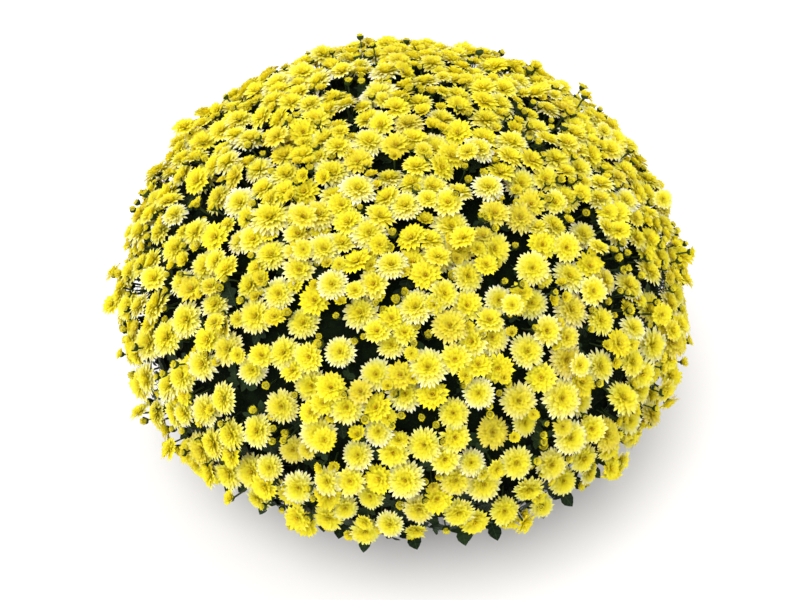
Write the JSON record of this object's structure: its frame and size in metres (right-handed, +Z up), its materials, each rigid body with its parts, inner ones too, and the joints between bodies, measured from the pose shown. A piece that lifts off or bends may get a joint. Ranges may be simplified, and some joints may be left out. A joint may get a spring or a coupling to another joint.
{
  "type": "pot chrysanthemum",
  "caption": "Potted garden chrysanthemum in full bloom: a low dome of small yellow double flowers over dark lobed leaves, in a plain round pot.",
  "frame": {"origin": "centre of the pot's flat base, on the surface that it stands on", "axes": "+Z up along the trunk; -Y towards the viewer of the front, +X to that viewer's right"},
  "size_m": [0.6016, 0.6007, 0.3997],
  "materials": {
    "pot_plastic": "dark moulded nursery-pot plastic, faintly dusty",
    "soil": "moist potting mix, crumbly and matt",
    "foliage": "dark green leaves, matt with a faint waxy sheen",
    "petals": "soft yellow petals, paler at their tips"
  },
  "bodies": {
    "root": {"pot": "pot_plastic", "soil": "soil", "leafy_bush": "foliage", "flower_spray_01": "petals", "flower_spray_02": "petals", "flower_spray_03": "petals", "flower_spray_04": "petals", "flower_spray_05": "petals", "flower_spray_06": "petals", "flower_spray_07": "petals", "flower_spray_08": "petals", "flower_spray_09": "petals", "flower_spray_10": "petals", "flower_spray_11": "petals", "flower_spray_12": "petals", "flower_spray_13": "petals", "flower_spray_14": "petals", "flower_spray_15": "petals", "flower_spray_16": "petals", "flower_spray_17": "petals", "flower_spray_18": "petals", "flower_spray_19": "petals", "flower_spray_20": "petals", "flower_spray_21": "petals", "flower_spray_22": "petals", "flower_spray_23": "petals", "flower_spray_24": "petals", "flower_spray_25": "petals", "flower_spray_26": "petals", "flower_spray_27": "petals", "flower_spray_28": "petals", "flower_spray_29": "petals", "flower_spray_30": "petals", "flower_spray_31": "petals", "flower_spray_32": "petals", "flower_spray_33": "petals", "flower_spray_34": "petals", "flower_spray_35": "petals", "flower_spray_36": "petals", "flower_spray_37": "petals", "flower_spray_38": "petals", "flower_spray_39": "petals", "flower_spray_40": "petals", "flower_spray_41": "petals", "flower_spray_42": "petals", "flower_spray_43": "petals"}
  },
  "joints": []
}
